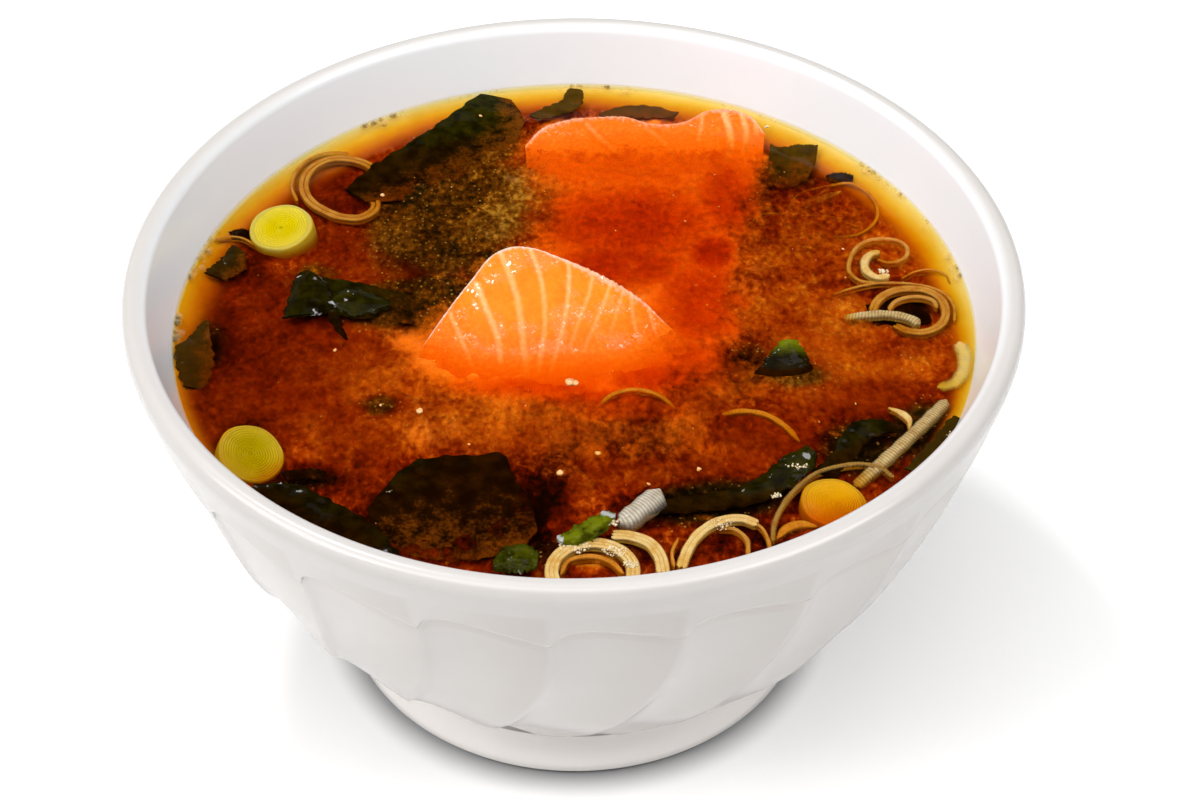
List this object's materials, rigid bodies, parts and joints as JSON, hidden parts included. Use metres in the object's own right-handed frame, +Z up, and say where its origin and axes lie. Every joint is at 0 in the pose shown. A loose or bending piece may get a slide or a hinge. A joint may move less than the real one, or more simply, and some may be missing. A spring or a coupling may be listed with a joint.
{
  "type": "miso soup",
  "caption": "Footed white bowl with swirled facets, filled with miso soup: dark broth, salmon, leek and wakame.",
  "frame": {"origin": "centre of the foot's base", "axes": "+Z up along the bowl's axis, -Y towards the side that faces the person eating"},
  "size_m": [0.15, 0.15, 0.081],
  "materials": {
    "glaze": "glossy white glaze",
    "broth": "wet, dark amber",
    "salmon": "wet cooked salmon",
    "leek_core": "wet leek, yellow core",
    "leek": "wet leek, pale layers",
    "wakame": "wet, dark green"
  },
  "bodies": {
    "root": {"bowl": "glaze", "broth": "broth", "salmon_front": "salmon", "salmon_back": "salmon", "leek_core_left": "leek_core", "leek_core_front_left": "leek_core", "leek_core_front_right": "leek_core", "leek_ring_left": "leek", "leek_arc_left": "leek", "leek_strip_left": "leek", "leek_coil_right": "leek", "leek_curl_right": "leek", "leek_arc_right": "leek", "leek_ring_right": "leek", "leek_curl_inner": "leek", "leek_end_right": "leek", "leek_piece_wall": "leek", "leek_strip_ribbed": "leek", "leek_hook_right": "leek", "leek_arc_front_right": "leek", "leek_arc_front": "leek", "leek_arc_inner": "leek", "leek_arc_outer": "leek", "leek_ring_front": "leek", "leek_arc_double": "leek", "leek_end_front": "leek", "wakame_back_left": "wakame", "wakame_back": "wakame", "wakame_left": "wakame", "wakame_left_small": "wakame", "wakame_left_edge": "wakame", "wakame_front_left": "wakame", "wakame_front": "wakame", "wakame_front_bump": "wakame", "wakame_front_green": "wakame", "wakame_front_right": "wakame", "wakame_right": "wakame", "wakame_tip": "wakame", "wakame_back_right": "wakame", "wakame_edge_right": "wakame"}
  },
  "joints": []
}
